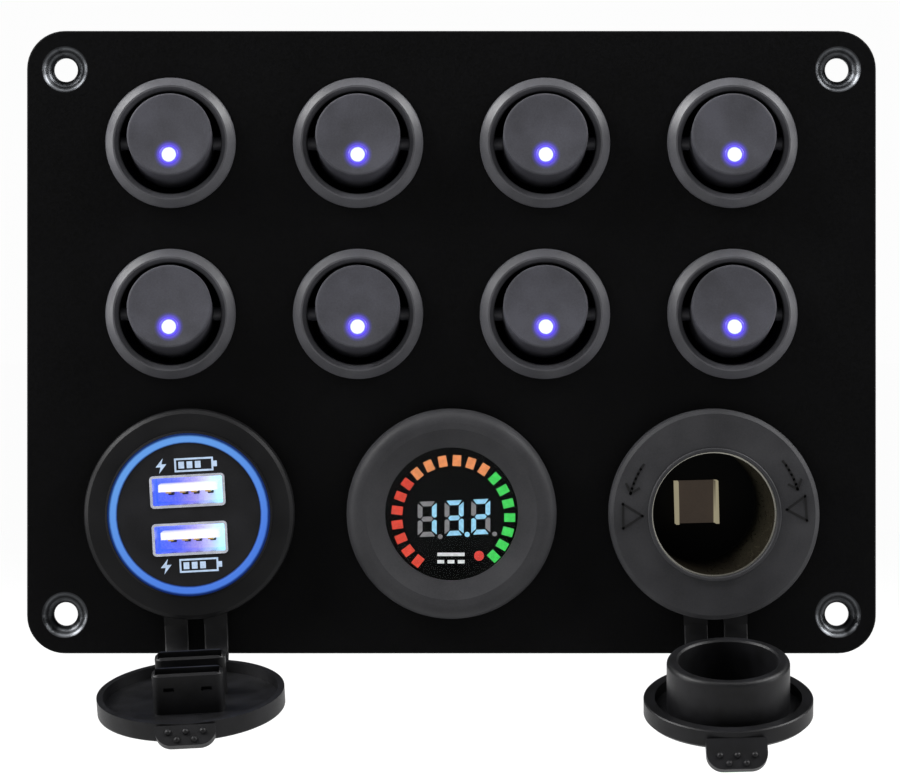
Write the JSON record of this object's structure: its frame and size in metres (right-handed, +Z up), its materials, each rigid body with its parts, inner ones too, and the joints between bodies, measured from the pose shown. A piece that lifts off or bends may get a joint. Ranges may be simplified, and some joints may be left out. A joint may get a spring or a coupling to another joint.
{
  "type": "switch panel",
  "caption": "Black rectangular dashboard panel with rows of round lit rocker switches above a USB charger, a voltmeter and a 12 V socket, two with hinged dust caps.",
  "frame": {"origin": "centre of the four panel screws, in the panel's back face", "axes": "+Z up, +X to the right seen from the front, and the front faces -Y"},
  "size_m": [0.15, 0.0892, 0.1261],
  "materials": {
    "panel_coat": "matte black coated aluminium",
    "housing_plastic": "satin black nylon",
    "rocker_plastic": "fine textured black",
    "lamp_blue": "lit translucent",
    "contact_brass": "bright",
    "tab_metal": "tin plated",
    "unit_plastic": "fine textured black",
    "face_plastic": "smooth black",
    "ring_light": "lit translucent",
    "port_steel": "nickel plated",
    "tongue_plastic": "white moulded",
    "board_green": "solder mask",
    "cap_rubber": "satin black rubber",
    "window_clear": "tinted clear",
    "display_black": "gloss black",
    "liner_steel": "plated, in shade",
    "contact_steel": "plated spring steel",
    "nut_plastic": "black moulded"
  },
  "bodies": {
    "panel": {"front_panel": "panel_coat", "switch_housing_1": "housing_plastic", "switch_housing_2": "housing_plastic", "switch_housing_3": "housing_plastic", "switch_housing_4": "housing_plastic", "switch_housing_5": "housing_plastic", "switch_housing_6": "housing_plastic", "switch_housing_7": "housing_plastic", "switch_housing_8": "housing_plastic", "switch_feed_terminals": "tab_metal", "switch_load_terminals": "tab_metal", "switch_ground_terminals": "contact_brass", "usb_housing": "unit_plastic", "usb_face": "face_plastic", "usb_light_ring": "ring_light", "usb_port_shells": "port_steel", "usb_tongues": "tongue_plastic", "usb_contacts": "contact_brass", "usb_circuit_board": "board_green", "usb_terminals": "tab_metal", "usb_cap_strap": "cap_rubber", "usb_cap_ring": "cap_rubber", "meter_housing": "unit_plastic", "meter_window": "window_clear", "meter_display": "display_black", "meter_circuit_board": "board_green", "meter_terminals": "tab_metal", "socket_housing": "unit_plastic", "socket_liner": "liner_steel", "socket_centre_contact": "contact_steel", "socket_terminals": "tab_metal", "socket_cap_strap": "cap_rubber", "socket_cap_ring": "cap_rubber", "retaining_nuts": "nut_plastic"},
    "rocker_1": {"rocker_1": "rocker_plastic", "rocker_lens_1": "lamp_blue"},
    "contact_lever_1": {"contact_lever_1": "contact_brass"},
    "rocker_2": {"rocker_2": "rocker_plastic", "rocker_lens_2": "lamp_blue"},
    "contact_lever_2": {"contact_lever_2": "contact_brass"},
    "rocker_3": {"rocker_3": "rocker_plastic", "rocker_lens_3": "lamp_blue"},
    "contact_lever_3": {"contact_lever_3": "contact_brass"},
    "rocker_4": {"rocker_4": "rocker_plastic", "rocker_lens_4": "lamp_blue"},
    "contact_lever_4": {"contact_lever_4": "contact_brass"},
    "rocker_5": {"rocker_5": "rocker_plastic", "rocker_lens_5": "lamp_blue"},
    "contact_lever_5": {"contact_lever_5": "contact_brass"},
    "rocker_6": {"rocker_6": "rocker_plastic", "rocker_lens_6": "lamp_blue"},
    "contact_lever_6": {"contact_lever_6": "contact_brass"},
    "rocker_7": {"rocker_7": "rocker_plastic", "rocker_lens_7": "lamp_blue"},
    "contact_lever_7": {"contact_lever_7": "contact_brass"},
    "rocker_8": {"rocker_8": "rocker_plastic", "rocker_lens_8": "lamp_blue"},
    "contact_lever_8": {"contact_lever_8": "contact_brass"},
    "usb_cap": {"usb_cap": "cap_rubber"},
    "socket_cap": {"socket_cap": "cap_rubber"}
  },
  "joints": [
    {"name": "rocker_1_rock", "type": "hinge", "parent": "panel", "child": "rocker_1", "pos_m": [-0.0496, 0, 0.0352], "axis": [1, 0, 0], "range_deg": [0, 24]},
    {"name": "contact_lever_1_rock", "type": "hinge", "parent": "panel", "child": "contact_lever_1", "pos_m": [-0.0496, 0.0068, 0.0352], "axis": [1, 0, 0], "range_deg": [-14, 0]},
    {"name": "rocker_2_rock", "type": "hinge", "parent": "panel", "child": "rocker_2", "pos_m": [-0.0165, 0, 0.0352], "axis": [1, 0, 0], "range_deg": [0, 24]},
    {"name": "contact_lever_2_rock", "type": "hinge", "parent": "panel", "child": "contact_lever_2", "pos_m": [-0.0165, 0.0068, 0.0352], "axis": [1, 0, 0], "range_deg": [-14, 0]},
    {"name": "rocker_3_rock", "type": "hinge", "parent": "panel", "child": "rocker_3", "pos_m": [0.0165, 0, 0.0352], "axis": [1, 0, 0], "range_deg": [0, 24]},
    {"name": "contact_lever_3_rock", "type": "hinge", "parent": "panel", "child": "contact_lever_3", "pos_m": [0.0165, 0.0068, 0.0352], "axis": [1, 0, 0], "range_deg": [-14, 0]},
    {"name": "rocker_4_rock", "type": "hinge", "parent": "panel", "child": "rocker_4", "pos_m": [0.0496, 0, 0.0352], "axis": [1, 0, 0], "range_deg": [0, 24]},
    {"name": "contact_lever_4_rock", "type": "hinge", "parent": "panel", "child": "contact_lever_4", "pos_m": [0.0496, 0.0068, 0.0352], "axis": [1, 0, 0], "range_deg": [-14, 0]},
    {"name": "rocker_5_rock", "type": "hinge", "parent": "panel", "child": "rocker_5", "pos_m": [-0.0496, 0, 0.005], "axis": [1, 0, 0], "range_deg": [0, 24]},
    {"name": "contact_lever_5_rock", "type": "hinge", "parent": "panel", "child": "contact_lever_5", "pos_m": [-0.0496, 0.0068, 0.005], "axis": [1, 0, 0], "range_deg": [-14, 0]},
    {"name": "rocker_6_rock", "type": "hinge", "parent": "panel", "child": "rocker_6", "pos_m": [-0.0165, 0, 0.005], "axis": [1, 0, 0], "range_deg": [0, 24]},
    {"name": "contact_lever_6_rock", "type": "hinge", "parent": "panel", "child": "contact_lever_6", "pos_m": [-0.0165, 0.0068, 0.005], "axis": [1, 0, 0], "range_deg": [-14, 0]},
    {"name": "rocker_7_rock", "type": "hinge", "parent": "panel", "child": "rocker_7", "pos_m": [0.0165, 0, 0.005], "axis": [1, 0, 0], "range_deg": [0, 24]},
    {"name": "contact_lever_7_rock", "type": "hinge", "parent": "panel", "child": "contact_lever_7", "pos_m": [0.0165, 0.0068, 0.005], "axis": [1, 0, 0], "range_deg": [-14, 0]},
    {"name": "rocker_8_rock", "type": "hinge", "parent": "panel", "child": "rocker_8", "pos_m": [0.0496, 0, 0.005], "axis": [1, 0, 0], "range_deg": [0, 24]},
    {"name": "contact_lever_8_rock", "type": "hinge", "parent": "panel", "child": "contact_lever_8", "pos_m": [0.0496, 0.0068, 0.005], "axis": [1, 0, 0], "range_deg": [-14, 0]},
    {"name": "usb_cap_hinge", "type": "hinge", "parent": "panel", "child": "usb_cap", "pos_m": [-0.04497, -0.0045, -0.05167], "axis": [0.9986, 0, 0.0523], "range_deg": [-103.5, 30], "stiffness_Nm_per_rad": 0.03, "deforming": ["usb_cap_strap"]},
    {"name": "socket_cap_hinge", "type": "hinge", "parent": "panel", "child": "socket_cap", "pos_m": [0.04666, -0.005, -0.05169], "axis": [0.9997, 0, 0.0262], "range_deg": [-107, 30], "stiffness_Nm_per_rad": 0.03, "deforming": ["socket_cap_strap"]}
  ],
  "couplings": [
    {"joint": "contact_lever_1_rock", "follows": "rocker_1_rock", "ratio": -0.58333},
    {"joint": "contact_lever_2_rock", "follows": "rocker_2_rock", "ratio": -0.58333},
    {"joint": "contact_lever_3_rock", "follows": "rocker_3_rock", "ratio": -0.58333},
    {"joint": "contact_lever_4_rock", "follows": "rocker_4_rock", "ratio": -0.58333},
    {"joint": "contact_lever_5_rock", "follows": "rocker_5_rock", "ratio": -0.58333},
    {"joint": "contact_lever_6_rock", "follows": "rocker_6_rock", "ratio": -0.58333},
    {"joint": "contact_lever_7_rock", "follows": "rocker_7_rock", "ratio": -0.58333},
    {"joint": "contact_lever_8_rock", "follows": "rocker_8_rock", "ratio": -0.58333}
  ]
}
